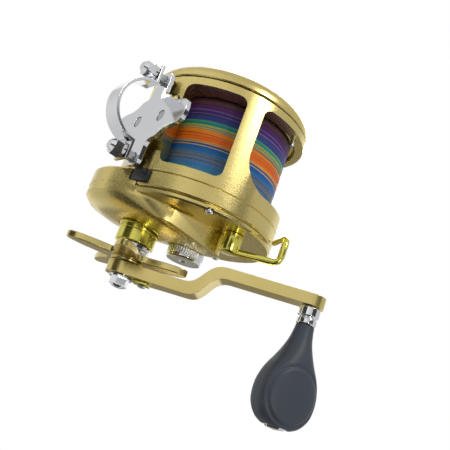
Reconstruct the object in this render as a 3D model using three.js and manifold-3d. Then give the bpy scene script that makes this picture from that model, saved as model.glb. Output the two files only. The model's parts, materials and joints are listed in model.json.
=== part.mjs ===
// Star-drag trolling reel, right handed. Millimetres, +Z up.
// X runs along the spool axis towards the handle, Y runs forward to the rod tip.
// The origin is the middle of the foot's underside, where the reel sits on a rod.
import * as THREE from 'three';
import { mergeVertices } from 'three/addons/utils/BufferGeometryUtils.js';
import { ConvexGeometry } from 'three/addons/geometries/ConvexGeometry.js';
import Module from 'manifold-3d';

const wasm = await Module();
wasm.setup();

// ---------------------------------------------------------------- clearances
const gap = 0.3;             // between neighbouring still pieces
const runGap = 0.3;          // all round a turning shaft
const screwGap = 0.3;        // all round a screw in its hole
const closeFit = 0.12;       // all round a pressed or seated ring
const wall = 2;              // side plate walls

// ---------------------------------------------------------------- facets round a full turn
const broad = 44;
const middle = 24;
const small = 14;
const tiny = 8;

// ---------------------------------------------------------------- frame
const frameHalf = 30;        // half of the frame's length along X
const ringRadius = 42.8;     // outside of the barrel
const ringDrop = 3.8;        // the barrel's middle lies this far below the spool axis
const spoolBore = ringRadius - 7;         // inside of the barrel, round the spool axis
const grooveX = frameHalf - 8;            // turned line round the right ring
const windowLeft = -frameHalf + 4.5;      // left edge of every window
const windowCorner = 4;
const sideWindowRight = frameHalf - 13;
const sideWindowAngle = 46;  // below the horizontal
const sideWindowHalf = 15.4;
const topWindowRight = frameHalf - 15.5;
const topWindowFloor = -12.8;
const topWindowSweep = 16;   // radius of the swept lower right corner

// ---------------------------------------------------------------- foot and clamp
const seatX = -3;            // middle of the foot
const seatY = -6.5;
const seatDepth = ringDrop + ringRadius + 3.9;   // spool axis to rod seat
const footThick = 2.3;
const footHalf = 30;         // half of the foot's length along Y
const studSpacing = 42.4;
const studRadius = 2.6;
const nutRadius = 4.3;       // over the corners
const earReach = 3.9;        // of the ears and wings, past the studs
const clampCentreZ = -seatDepth - 4.1;
const clampInner = studSpacing / 2 - 6.3;
const strapThick = 1.5;
const strapWidth = 10.5;
const earBottom = 1.9;       // underside of the strap's ears, below the clamp's middle

// ---------------------------------------------------------------- spool
const spoolLeft = -frameHalf + 1.6;
const spoolRight = frameHalf - 10.6;
const flangeThick = 1.7;
const flangeRadius = spoolBore - 1;
const spoolCore = 15;
const lineRadius = flangeRadius - 1.8;
const shaftRadius = 2.5;
const shaftTip = 1.9;        // thin end that carries the pinion

// ---------------------------------------------------------------- gears
const driveY = 0.271 * ringRadius;
const driveZ = -0.5374 * ringRadius;
const gearTeeth = 50;
const pinionTeeth = 10;
const axleDistance = Math.hypot(driveY, driveZ);
const toothModule = 2 * axleDistance / (gearTeeth + pinionTeeth);
const driveShaftRadius = 3;

// ---------------------------------------------------------------- right side plate
const plateFace = frameHalf + 3;          // outer face of the thin rim
const caseRadius = 0.729 * ringRadius;
const caseBack = frameHalf - 7.6;         // the case reaches back over the barrel to here
const caseTop = frameHalf + 10.5;         // flat seat round the drive shaft
const caseCrest = frameHalf + 13.7;       // highest part of the case, beside the lever
const capSeat = frameHalf + 10;           // face under the tension cap
const leverY = -0.6706 * ringRadius;
const leverZ = 3.4;
const neckRadius = 7;
const neckRight = capSeat + 6;
const rightBearingOuter = 4.9;
const capRadius = 9.4;

// ---------------------------------------------------------------- handle
const handleAngle = 48.7;    // degrees from +Z towards -Y
const handleThrow = 92;
const armHubX = frameHalf + 31;
const armHubThick = 6;
const armTipX = armHubX - 11.8;
const armTipThick = 5.5;
const starRadius = 32;
const starX = frameHalf + 25.8;
const starAngle = 216.7;                 // degrees about X at which the star wheel rests
const starThick = 3.3;

// ---------------------------------------------------------------- colours
const goldPaint = { color: 0xcdbe82, roughness: 0.32, metalness: 0.9 };
const limePaint = { color: 0xc9c23c, roughness: 0.28, metalness: 0.9 };
const chromePaint = { color: 0xd4d6d8, roughness: 0.14, metalness: 1.0 };
const steelPaint = { color: 0xa9adb2, roughness: 0.3, metalness: 1.0 };
const brassPaint = { color: 0xb99a4b, roughness: 0.35, metalness: 0.9 };
const blackPaint = { color: 0x23262f, roughness: 0.25, metalness: 0.0 };
const rubberPaint = { color: 0x3f4a5c, roughness: 0.6, metalness: 0.0 };
const carbonPaint = { color: 0x2c2c2c, roughness: 0.7, metalness: 0.0 };
const linePaint = { color: 0x2f77b8, roughness: 0.5, metalness: 0.0 };

// ---------------------------------------------------------------- solids
const radians = THREE.MathUtils.degToRad;

function solid(geometry) {
  const bare = new THREE.BufferGeometry();
  bare.setAttribute('position', geometry.getAttribute('position').clone());
  if (geometry.index) bare.setIndex(geometry.index.clone());
  const merged = mergeVertices(bare, 1e-4);
  const corners = [];
  for (let i = 0; i < merged.index.count; i += 3) {
    const a = merged.index.getX(i);
    const b = merged.index.getX(i + 1);
    const c = merged.index.getX(i + 2);
    if (a !== b && b !== c && c !== a) corners.push(a, b, c);
  }
  return new wasm.Manifold(new wasm.Mesh({
    numProp: 3,
    vertProperties: new Float32Array(merged.getAttribute('position').array),
    triVerts: new Uint32Array(corners),
  }));
}

function geometryOf(body) {
  const data = body.getMesh();
  const geometry = new THREE.BufferGeometry();
  geometry.setAttribute('position', new THREE.Float32BufferAttribute(data.vertProperties, 3));
  geometry.setIndex(new THREE.Uint32BufferAttribute(data.triVerts, 1));
  geometry.computeVertexNormals();
  return geometry;
}

const join = (...bodies) => bodies.reduce((whole, body) => whole.add(body));
const cut = (body, ...tools) => tools.reduce((rest, tool) => rest.subtract(tool), body);

// Turned solid round the X axis. The profile is [radius, x] pairs.
function turned(profile, sides = middle, y = 0, z = 0) {
  const points = profile.map(([radius, x]) => new THREE.Vector2(radius, x));
  if (THREE.ShapeUtils.area(points) < 0) points.reverse();
  const onAxis = points[0].x === 0 && points[points.length - 1].x === 0;
  if (!onAxis) points.push(points[0].clone());
  return solid(new THREE.LatheGeometry(points, sides).rotateZ(-Math.PI / 2).translate(0, y, z));
}

const rod = (radius, from, to, sides = small, y = 0, z = 0) =>
  turned([[0, from], [radius, from], [radius, to], [0, to]], sides, y, z);

const tube = (inner, outer, from, to, sides = small, y = 0, z = 0) =>
  turned([[inner, from], [outer, from], [outer, to], [inner, to]], sides, y, z);

// Extrusion with the shape drawn in Y and Z, and its thickness along X.
function plateX(shape, from, to, segments = 8) {
  const geometry = new THREE.ExtrudeGeometry(shape, {
    depth: to - from, bevelEnabled: false, curveSegments: segments,
  });
  const turn = new THREE.Matrix4().makeBasis(
    new THREE.Vector3(0, 1, 0), new THREE.Vector3(0, 0, 1), new THREE.Vector3(1, 0, 0));
  return solid(geometry.applyMatrix4(turn).translate(from, 0, 0));
}

// Extrusion with the shape drawn in X and Z, and its thickness along Y.
function plateY(shape, from, to, segments = 8) {
  const geometry = new THREE.ExtrudeGeometry(shape, {
    depth: to - from, bevelEnabled: false, curveSegments: segments,
  });
  return solid(geometry.rotateX(Math.PI / 2).translate(0, to, 0));
}

// Extrusion with the shape drawn in X and Y, and its thickness along Z.
function plateZ(shape, from, to, segments = 8) {
  const geometry = new THREE.ExtrudeGeometry(shape, {
    depth: to - from, bevelEnabled: false, curveSegments: segments,
  });
  return solid(geometry.translate(0, 0, from));
}

function box(x0, x1, y0, y1, z0, z1) {
  const geometry = new THREE.BoxGeometry(x1 - x0, y1 - y0, z1 - z0);
  return solid(geometry.translate((x0 + x1) / 2, (y0 + y1) / 2, (z0 + z1) / 2));
}

const peg = (radius, from, to, x, y, sides = tiny) =>
  solid(new THREE.CylinderGeometry(radius, radius, to - from, sides)
    .rotateX(Math.PI / 2).translate(x, y, (from + to) / 2));

function roundedRect(x0, x1, y0, y1, corner) {
  const shape = new THREE.Shape();
  shape.moveTo(x0 + corner, y0);
  shape.lineTo(x1 - corner, y0);
  shape.absarc(x1 - corner, y0 + corner, corner, -Math.PI / 2, 0);
  shape.lineTo(x1, y1 - corner);
  shape.absarc(x1 - corner, y1 - corner, corner, 0, Math.PI / 2);
  shape.lineTo(x0 + corner, y1);
  shape.absarc(x0 + corner, y1 - corner, corner, Math.PI / 2, Math.PI);
  shape.lineTo(x0, y0 + corner);
  shape.absarc(x0 + corner, y0 + corner, corner, Math.PI, 1.5 * Math.PI);
  return shape;
}

function regular(sides, radius, turn = 0) {
  const shape = new THREE.Shape();
  for (let i = 0; i < sides; i += 1) {
    const angle = turn + 2 * Math.PI * i / sides;
    shape[i ? 'lineTo' : 'moveTo'](radius * Math.cos(angle), radius * Math.sin(angle));
  }
  return shape;
}

function mesh(name, body, paint) {
  const made = new THREE.Mesh(geometryOf(body), new THREE.MeshStandardMaterial(paint));
  made.name = name;
  return made;
}

// ---------------------------------------------------------------- fasteners' places
const ringPoint = (angle, radius) => [
  radius * Math.cos(radians(angle)), radius * Math.sin(radians(angle)) - ringDrop];

const leftScrewRadius = ringRadius - 4.2;
const leftScrews = [30, 150, 270].map((angle) => ringPoint(angle, leftScrewRadius));
const rightScrewRadius = ringRadius - 2.2;
const rightScrews = [204, 264, 62].map((angle) => ringPoint(angle, rightScrewRadius));
const plateScrewRadius = 1.2;
const plateScrewHead = 2.2;
const plateScrewDepth = 8;
const footScrewReach = 10;
const footScrews = [-1, 1].map((side) => seatY + side * footScrewReach);
const footScrewRadius = 1.5;
const footScrewHead = 2.7;
const padTop = -seatDepth + footThick + gap;
const studs = [-1, 1].map((side) => seatX + side * studSpacing / 2);

// ---------------------------------------------------------------- black block
const blockAngle = 15;       // degrees from straight down, towards -Y
const blockX0 = frameHalf - 7.9;
const blockX1 = frameHalf - 1.8;
const blockHalf = 5;
const blockProud = 1.2;
const blockSunk = 0.7;

function blockBody(grow) {
  const shape = roundedRect(blockX0 - grow, blockX1 + grow, -blockHalf - grow, blockHalf + grow, 0.9);
  const from = -ringRadius - (grow ? 2 * blockProud : blockProud);
  const turn = new THREE.Matrix4().makeRotationX(radians(-blockAngle));
  const geometry = new THREE.ExtrudeGeometry(shape, {
    depth: -ringRadius + blockSunk + grow - from, bevelEnabled: false, curveSegments: 3,
  });
  return solid(geometry.translate(0, 0, from).applyMatrix4(turn).translate(0, 0, -ringDrop));
}

// ---------------------------------------------------------------- frame
function sideWindow(side) {
  const shape = roundedRect(windowLeft, sideWindowRight, -sideWindowHalf, sideWindowHalf, windowCorner);
  const start = 20;
  const reach = ringRadius;
  const geometry = new THREE.ExtrudeGeometry(shape, { depth: reach, bevelEnabled: false, curveSegments: 5 });
  // Local Z becomes the outward direction of the window.
  const tilt = side * radians(90 + sideWindowAngle);
  return solid(geometry.translate(0, 0, start).rotateX(tilt).translate(0, 0, -ringDrop));
}

function topWindow() {
  const top = 2 * ringRadius;
  const shape = new THREE.Shape();
  shape.moveTo(windowLeft, top);
  shape.lineTo(windowLeft, topWindowFloor + windowCorner);
  shape.absarc(windowLeft + windowCorner, topWindowFloor + windowCorner, windowCorner,
    Math.PI, 1.5 * Math.PI);
  shape.lineTo(topWindowRight - topWindowSweep, topWindowFloor);
  shape.absarc(topWindowRight - topWindowSweep, topWindowFloor + topWindowSweep, topWindowSweep,
    -Math.PI / 2, 0);
  shape.lineTo(topWindowRight, top);
  return plateY(shape, -2 * ringRadius, 2 * ringRadius, 9);
}

function frame() {
  const edge = 0.7;
  const grooveDeep = 0.4;
  const grooveHalf = 0.35;
  const barrel = turned([
    [0, -frameHalf], [ringRadius - edge, -frameHalf], [ringRadius, -frameHalf + edge],
    [ringRadius, grooveX - grooveHalf], [ringRadius - grooveDeep, grooveX],
    [ringRadius, grooveX + grooveHalf],
    [ringRadius, frameHalf - edge], [ringRadius - edge, frameHalf], [0, frameHalf],
  ], broad, 0, -ringDrop);
  const padHalfX = 12;
  const padHalfY = 16;
  const pad = box(seatX - padHalfX, seatX + padHalfX, seatY - padHalfY, seatY + padHalfY,
    padTop, -spoolBore + 1.8);
  const slotLeft = -frameHalf + 1.4;
  const slot = box(slotLeft, slotLeft + 1.4, -7.4, -4, -2 * ringRadius, -ringDrop - ringRadius + 3.2);
  const tools = [
    rod(spoolBore, -2 * frameHalf, 2 * frameHalf, broad),
    sideWindow(1), sideWindow(-1), topWindow(), blockBody(gap),
    slot,
    ...leftScrews.map(([y, z]) =>
      rod(plateScrewRadius + screwGap, -frameHalf - 1, -frameHalf + plateScrewDepth + gap, tiny, y, z)),
    ...rightScrews.map(([y, z]) =>
      rod(plateScrewRadius + screwGap, frameHalf - plateScrewDepth - gap, frameHalf + 1, tiny, y, z)),
    ...footScrews.map((y) => peg(footScrewRadius + screwGap, -2 * ringRadius, -30, seatX, y)),
  ];
  return mesh('frame', cut(join(barrel, pad), ...tools), goldPaint);
}

function frameBlock() {
  return mesh('frame_block', blockBody(0), blackPaint);
}

// ---------------------------------------------------------------- foot and clamp
function footOutline() {
  const wing = studSpacing / 2 + earReach;
  const shape = new THREE.Shape();
  shape.moveTo(wing, -2.5);
  shape.lineTo(wing, 2.5);
  shape.quadraticCurveTo(wing, 5.5, wing - 3, 5.5);
  shape.lineTo(15.5, 5.5);
  shape.quadraticCurveTo(12, 5.6, 11.6, 9);
  shape.quadraticCurveTo(11.4, 12.5, 9.6, 13.5);
  shape.quadraticCurveTo(7.4, 16, 6.8, 20);
  shape.quadraticCurveTo(6.4, 27.5, 4.6, footHalf - 1);
  shape.quadraticCurveTo(0, footHalf + 1, -4.6, footHalf - 1);
  shape.quadraticCurveTo(-6.4, 27.5, -6.8, 20);
  shape.quadraticCurveTo(-7.4, 16, -9.6, 13.5);
  shape.quadraticCurveTo(-11.4, 12.5, -11.6, 9);
  shape.quadraticCurveTo(-12, 5.6, -15.5, 5.5);
  shape.lineTo(-wing + 3, 5.5);
  shape.quadraticCurveTo(-wing, 5.5, -wing, 2.5);
  const half = shape.getPoints(3);
  const mirrored = half.slice().map((point) => new THREE.Vector2(-point.x, -point.y));
  return new THREE.Shape([...half, ...mirrored]);
}

function reelFoot() {
  const bottom = -seatDepth;
  const top = bottom + footThick;
  const sheet = plateZ(footOutline(), bottom, top).translate([seatX, seatY, 0]);
  const holes = studs.map((x) => peg(studRadius + gap, bottom - 1, top + 1, x, seatY));
  const screwHoles = footScrews.map((y) => peg(footScrewRadius + screwGap, bottom - 1, top + 1, seatX, y));
  const sinks = footScrews.map((y) => peg(footScrewHead + gap, bottom - 1, bottom + 1.3, seatX, y));
  return mesh('reel_foot', cut(sheet, ...holes, ...screwHoles, ...sinks), chromePaint);
}

function footScrew(index) {
  const y = footScrews[index];
  const head = peg(footScrewHead, -seatDepth + 0.2, -seatDepth + 1, seatX, y);
  const shank = peg(footScrewRadius, -seatDepth + 0.9, -seatDepth + 8, seatX, y);
  return mesh(`foot_screw_${index + 1}`, join(head, shank), steelPaint);
}

function clampStrap() {
  const outer = clampInner + strapThick;
  const earTop = earBottom - strapThick;
  const earEnd = studSpacing / 2 + earReach;
  const outerStart = Math.asin(earBottom / outer);
  const innerStart = Math.asin(earTop / clampInner);
  const shape = new THREE.Shape();
  shape.moveTo(earEnd, -earTop);
  shape.lineTo(clampInner * Math.cos(innerStart), -earTop);
  shape.absarc(0, 0, clampInner, -innerStart, -Math.PI + innerStart, true);
  shape.lineTo(-earEnd, -earTop);
  shape.lineTo(-earEnd, -earBottom);
  shape.lineTo(-outer * Math.cos(outerStart), -earBottom);
  shape.absarc(0, 0, outer, -Math.PI + outerStart, -outerStart, false);
  shape.lineTo(earEnd, -earBottom);
  const band = plateY(shape, seatY - strapWidth / 2, seatY + strapWidth / 2, 12)
    .translate([seatX, 0, clampCentreZ]);
  const holes = studs.map((x) => peg(studRadius + gap, clampCentreZ - 4, clampCentreZ + 4, x, seatY));
  return mesh('clamp_strap', cut(band, ...holes), chromePaint);
}

const nutTop = clampCentreZ - earBottom - gap;
const nutHeight = 7.2;
const studEnd = nutTop - nutHeight + 2.2;

function clampStud(index) {
  const x = studs[index];
  const headBottom = -seatDepth + footThick + gap;
  const shank = peg(studRadius, studEnd, headBottom + 0.4, x, seatY);
  const head = peg(3.6, headBottom, headBottom + 1, x, seatY);
  return mesh(`clamp_stud_${index + 1}`, join(shank, head), steelPaint);
}

function clampNut(index) {
  const x = studs[index];
  const dome = 1.8;
  const hex = plateZ(regular(6, nutRadius), nutTop - nutHeight + dome, nutTop).translate([x, seatY, 0]);
  const crown = new THREE.CylinderGeometry(nutRadius - 0.7, 2.2, dome + 0.1, small).rotateX(Math.PI / 2);
  const tip = solid(crown.translate(x, seatY, nutTop - nutHeight + dome / 2 + 0.05));
  const collar = peg(nutRadius + 0.2, nutTop - 1.3, nutTop, x, seatY, small);
  const bore = peg(studRadius + gap, studEnd - gap, nutTop + 1, x, seatY);
  return mesh(`clamp_nut_${index + 1}`, cut(join(hex, tip, collar), bore), chromePaint);
}

// ---------------------------------------------------------------- left side
const leftSeam = -frameHalf - gap;
const leftFace = -frameHalf - 9.3;
const clickZ = 19;           // clicker stem, above the spool axis
const clickTravel = 3;
const clickStem = 1.8;
const leftBearingOuter = 5.5;
const leftBossRadius = 8;
const leftRoof = leftFace + 2.5;
const leftHeadSeat = leftFace + 3.8;      // underside of the left screws' heads

function leftSidePlate() {
  const shell = turned([
    [0, leftSeam], [ringRadius - 0.5, leftSeam], [ringRadius, leftSeam - 0.5],
    [ringRadius, leftFace + 6.5], [ringRadius - 0.6, leftFace + 4.7], [ringRadius - 2, leftFace + 2.9],
    [ringRadius - 4.4, leftFace + 1.3], [ringRadius - 7.4, leftFace + 0.4], [ringRadius - 10.5, leftFace],
    [0, leftFace],
  ], broad, 0, -ringDrop);
  const roomRadius = spoolBore - 4.8;
  const room = tube(leftBossRadius, roomRadius, leftRoof, leftSeam + 1, middle);
  const roomEnd = rod(roomRadius, leftSeam - 2.1, leftSeam + 1, middle);
  const bearingSeat = rod(leftBearingOuter + closeFit, leftRoof, leftSeam + 1, small);
  const slot = box(leftFace - 1, leftRoof + 1, -clickStem - gap, clickStem + gap,
    clickZ - clickTravel - clickStem - gap, clickZ + clickStem + gap);
  const sinks = leftScrews.flatMap(([y, z]) => [
    rod(plateScrewHead + gap, leftFace - 1, leftHeadSeat + gap, tiny, y, z),
    rod(plateScrewRadius + screwGap, leftFace - 1, leftSeam + 1, tiny, y, z)]);
  return mesh('left_side_plate', cut(shell, room, roomEnd, bearingSeat, slot, ...sinks), goldPaint);
}

function leftScrew(index) {
  const [y, z] = leftScrews[index];
  const head = rod(plateScrewHead, leftHeadSeat - 1.5, leftHeadSeat, tiny, y, z);
  const shank = rod(plateScrewRadius, leftHeadSeat - 0.1, -frameHalf + plateScrewDepth, tiny, y, z);
  return mesh(`left_plate_screw_${index + 1}`, join(head, shank), steelPaint);
}

function leftBearingCap() {
  const body = turned([
    [0, leftFace - gap], [9, leftFace - gap], [9, leftFace - 1.1], [8, leftFace - 1.7],
    [0, leftFace - 1.9]], middle);
  return mesh('left_bearing_cap', body, limePaint);
}

function leftBearing() {
  return mesh('left_spool_bearing',
    tube(shaftRadius + closeFit, leftBearingOuter, leftRoof + gap, leftRoof + gap + 4, small), steelPaint);
}

const clickGearLeft = leftSeam - 1.6;
const clickGearRight = leftSeam - 0.3;
const clickGearRadius = 11;

function clickGear() {
  const teeth = 16;
  const shape = new THREE.Shape();
  for (let i = 0; i < 2 * teeth; i += 1) {
    const angle = Math.PI * (i + 0.5) / teeth;
    const radius = i % 2 ? clickGearRadius : clickGearRadius - 1.4;
    shape[i ? 'lineTo' : 'moveTo'](radius * Math.cos(angle), radius * Math.sin(angle));
  }
  const bore = rod(shaftRadius + gap, clickGearLeft - 1, clickGearRight + 1, small);
  return mesh('click_gear', cut(plateX(shape, clickGearLeft, clickGearRight), bore), brassPaint);
}

function clickTongue() {
  const tip = clickGearRadius + clickTravel + 0.3;
  const shape = new THREE.Shape([
    new THREE.Vector2(0, tip), new THREE.Vector2(2.6, tip + 3), new THREE.Vector2(2.6, clickZ + 2.5),
    new THREE.Vector2(-2.6, clickZ + 2.5), new THREE.Vector2(-2.6, tip + 3)]);
  return mesh('click_tongue', plateX(shape, clickGearLeft, clickGearRight), steelPaint);
}

function clickButton() {
  const outside = leftFace - gap;
  const stem = rod(clickStem, outside - 0.5, clickGearLeft - gap, tiny, 0, clickZ);
  const knob = turned([
    [0, outside - 2.6], [3.6, outside - 2.4], [4.4, outside - 1.6], [4.4, outside], [0, outside]],
  small, 0, clickZ);
  return mesh('click_button', join(knob, stem), limePaint);
}

// ---------------------------------------------------------------- spool
function spool() {
  const leftInner = spoolLeft + flangeThick;
  const rightInner = spoolRight - flangeThick;
  const round = 0.5;
  const body = turned([
    [shaftRadius + gap, spoolLeft], [flangeRadius - round, spoolLeft], [flangeRadius, spoolLeft + round],
    [flangeRadius, leftInner - round], [flangeRadius - round, leftInner], [spoolCore, leftInner],
    [spoolCore, rightInner], [flangeRadius - round, rightInner], [flangeRadius, rightInner + round],
    [flangeRadius, spoolRight - round], [flangeRadius - round, spoolRight],
    [shaftRadius + gap, spoolRight],
  ], middle);
  return mesh('spool', body, goldPaint);
}

function woundLine() {
  const left = spoolLeft + flangeThick + gap;
  const right = spoolRight - flangeThick - gap;
  const body = turned([
    [spoolCore + gap, left], [lineRadius - 0.5, left], [lineRadius, left + 4],
    [lineRadius, right - 4], [lineRadius - 0.5, right], [spoolCore + gap, right]], middle);
  return mesh('wound_line', body, linePaint);
}

const shaftLeft = leftRoof + gap + 0.3;
const shaftStep = spoolRight + 0.3;

function spoolShaft() {
  const body = turned([
    [0, shaftLeft], [shaftRadius, shaftLeft], [shaftRadius, shaftStep], [shaftTip, shaftStep],
    [shaftTip, neckRight + 0.4], [0, neckRight + 0.4]], small);
  return mesh('spool_shaft', body, steelPaint);
}

// ---------------------------------------------------------------- gear train
// Outline of a gear with one tooth, or one space, at the angle given.
function gearShape(teeth, angle, toothFirst) {
  const pitch = toothModule * teeth / 2;
  const radii = [pitch - 1.15 * toothModule, pitch + 0.8 * toothModule];
  const fills = [0.3, 0.08];   // half widths at the root and tip, in tooth spacings
  const step = 2 * Math.PI / teeth;
  const start = angle + (toothFirst ? 0 : step / 2);
  const points = [];
  for (let i = 0; i < teeth; i += 1) {
    const middle = start + i * step;
    for (const side of [-1, 1]) {
      const order = side < 0 ? [0, 1] : [1, 0];
      for (const level of order) {
        const at = middle + side * fills[level] * step;
        points.push(new THREE.Vector2(radii[level] * Math.cos(at), radii[level] * Math.sin(at)));
      }
    }
  }
  return new THREE.Shape(points);
}

const meshAngle = Math.atan2(-driveZ, -driveY);   // from the drive shaft towards the spool axis
const gearPlateLeft = frameHalf - 2.2;
const gearPlateRight = gearPlateLeft + 1.8;
const ratchetLeft = gearPlateRight + 0.4;
const ratchetRight = ratchetLeft + 1.5;
const ratchetRadius = 9.2;
const gearLeft = ratchetRight + 0.5;
const gearRight = gearLeft + 4;
const drumFloor = gearLeft + 2;           // floor of the drag washers' recess in the drive gear
const drumRadius = toothModule * gearTeeth / 2 - 5.9;
const washerThick = 0.6;
const pinionLeft = spoolRight + 1;
const pinionNeck = 4;
const pinionWaist = 3.2;     // beside the teeth, to clear the drive gear when the pinion slides
const waistLeft = gearLeft - 2.6;
const pinionTeethLeft = gearLeft - 0.8;
const pinionTeethRight = gearRight - 0.6;
const yokeLeft = gearPlateLeft - 5.2;
const yokeThick = 1.2;
const yokeGroove = 3;

function driveGear() {
  const disc = plateX(gearShape(gearTeeth, meshAngle, true), gearLeft, gearRight);
  const bore = rod(driveShaftRadius + closeFit, gearLeft - 1, gearRight + 1, small);
  const recess = rod(drumRadius, drumFloor, gearRight + 1, middle);
  return mesh('drive_gear', cut(disc, bore, recess).translate([0, driveY, driveZ]), brassPaint);
}

function pinionGear() {
  const neck = turned([
    [0, pinionLeft], [pinionNeck, pinionLeft], [pinionNeck, yokeLeft - gap], [yokeGroove, yokeLeft - gap],
    [yokeGroove, yokeLeft + yokeThick + gap], [pinionNeck, yokeLeft + yokeThick + gap],
    [pinionNeck, waistLeft], [pinionWaist, waistLeft], [pinionWaist, pinionTeethLeft + 0.2],
    [0, pinionTeethLeft + 0.2]], small);
  const teeth = plateX(gearShape(pinionTeeth, meshAngle + Math.PI, false), pinionTeethLeft, pinionTeethRight);
  const bore = rod(shaftTip + 0.1, pinionLeft - 1, pinionTeethRight + 1, small);
  return mesh('pinion_gear', cut(join(neck, teeth), bore), brassPaint);
}

const springY = 0;
const springZ = [-13, 13];
const springOuter = 2;

function clutchYoke() {
  const right = yokeLeft + yokeThick;
  const bar = plateX(roundedRect(-4.6, 6, -17, 17, 2), yokeLeft, right);
  const mouth = yokeGroove + 0.3;
  const fork = join(
    rod(mouth, yokeLeft - 1, right + 1, small), box(yokeLeft - 1, right + 1, 0, 12, -mouth, mouth));
  const holes = springZ.map((z) => rod(springOuter + gap, yokeLeft - 1, right + 1, tiny, springY, z));
  return mesh('clutch_yoke', cut(bar, fork, ...holes), steelPaint);
}

function yokeSpring(index) {
  const body = tube(1.3, springOuter, yokeLeft, gearPlateLeft - gap, tiny, springY, springZ[index]);
  return mesh(`yoke_spring_${index + 1}`, body, steelPaint);
}

const leverShaft = 2.1;

function gearPlate() {
  const disc = rod(spoolBore - 0.4, gearPlateLeft, gearPlateRight, middle);
  const through = (radius, y, z) => rod(radius, gearPlateLeft - 1, gearPlateRight + 1, small, y, z);
  return mesh('gear_plate', cut(disc,
    through(pinionNeck + runGap, 0, 0),
    through(driveShaftRadius + closeFit, driveY, driveZ),
    through(leverShaft + runGap, leverY, leverZ)), steelPaint);
}

const pawlPivot = [driveY - 16.5, driveZ + 5];   // Y and Z of the pawl's pivot

function ratchetWheel() {
  const teeth = 16;
  const shape = new THREE.Shape();
  for (let i = 0; i < teeth; i += 1) {
    const angle = 2 * Math.PI * i / teeth;
    const next = angle + 2 * Math.PI * 0.93 / teeth;
    const low = ratchetRadius - 1.6;
    shape[i ? 'lineTo' : 'moveTo'](low * Math.cos(angle), low * Math.sin(angle));
    shape.lineTo(ratchetRadius * Math.cos(next), ratchetRadius * Math.sin(next));
  }
  const bore = rod(driveShaftRadius + closeFit, ratchetLeft - 1, ratchetRight + 1, small);
  const body = cut(plateX(shape, ratchetLeft, ratchetRight), bore);
  return mesh('ratchet_wheel', body.translate([0, driveY, driveZ]), steelPaint);
}

function antiReversePawl() {
  const [y, z] = pawlPivot;
  const shape = new THREE.Shape([
    new THREE.Vector2(y - 2.4, z - 2), new THREE.Vector2(y + 2.4, z - 2.2),
    new THREE.Vector2(y + 6.7, z - 3.4), new THREE.Vector2(y + 5.2, z - 0.6),
    new THREE.Vector2(y + 2, z + 2.4), new THREE.Vector2(y - 2.4, z + 2)]);
  const arm = plateX(shape, ratchetLeft + gap, ratchetRight);
  return mesh('anti_reverse_pawl', arm, steelPaint);
}

const threadRadius = 2.6;    // end of the drive shaft, under the handle nut
const threadEnd = armHubX + armHubThick + 4.6;

function driveShaft() {
  const body = turned([
    [0, gearPlateLeft - 3.6], [driveShaftRadius, gearPlateLeft - 3.6],
    [driveShaftRadius, armHubX + armHubThick], [threadRadius, armHubX + armHubThick],
    [threadRadius, threadEnd], [0, threadEnd]], small, driveY, driveZ);
  return mesh('drive_shaft', body, steelPaint);
}

function dragWasher(index, paint) {
  const outer = drumRadius - 0.6;
  const from = drumFloor + 0.2 + index * (washerThick + 0.2);
  const body = tube(driveShaftRadius + gap, outer, from, from + washerThick, middle, driveY, driveZ);
  return mesh(`drag_washer_${index + 1}`, body, paint);
}

const pressureLeft = drumFloor + 0.2 + 3 * (washerThick + 0.2) + 0.1;
const pressureRight = pressureLeft + 1;
const springLeft = pressureRight + gap;
const springRight = springLeft + 1.1;

function pressurePlate() {
  const body = tube(driveShaftRadius + gap, drumRadius - 2.1, pressureLeft, pressureRight, middle,
    driveY, driveZ);
  return mesh('pressure_plate', body, steelPaint);
}

function springWasher() {
  const inner = driveShaftRadius + gap;
  const body = turned([
    [inner, springRight - 0.6], [sleeveInner - 0.6, springLeft], [sleeveInner - 0.2, springLeft + 0.5],
    [inner, springRight]],
  small, driveY, driveZ);
  return mesh('spring_washer', body, steelPaint);
}

// ---------------------------------------------------------------- drive tower
const bossLeft = caseTop + gap;
const bossRight = caseTop + 10.1;
const bossRadius = 9.9;
const sleeveInner = 6.7;     // radius of the sleeve inside the one-way bearing
const sleeveLeft = springRight + gap;
const sleeveRight = starX - gap;
const bossLip = 1;

function driveBoss() {
  const body = turned([
    [9.2, bossLeft], [bossRadius + 0.5, bossLeft], [bossRadius + 0.5, bossLeft + 0.9],
    [bossRadius, bossLeft + 1.3], [bossRadius, bossRight - 0.6], [bossRadius - 0.5, bossRight],
    [sleeveInner + 0.4, bossRight], [sleeveInner + 0.4, bossRight - bossLip], [9.2, bossRight - bossLip]],
  middle, driveY, driveZ);
  return mesh('drive_boss', body, limePaint);
}

function oneWayBearing() {
  const body = tube(
    sleeveInner + gap, 8.9, bossLeft + gap, bossRight - bossLip - gap, middle, driveY, driveZ);
  return mesh('one_way_bearing', body, steelPaint);
}

function dragSleeve() {
  const bore = driveShaftRadius + gap;
  const body = turned([
    [bore, sleeveLeft], [sleeveInner, sleeveLeft], [sleeveInner, bossRight + gap],
    [9, bossRight + gap], [9, bossRight + 2.1], [8.5, bossRight + 2.4], [8.5, sleeveRight],
    [bore, sleeveRight]], middle, driveY, driveZ);
  return mesh('drag_sleeve', body, chromePaint);
}

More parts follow.
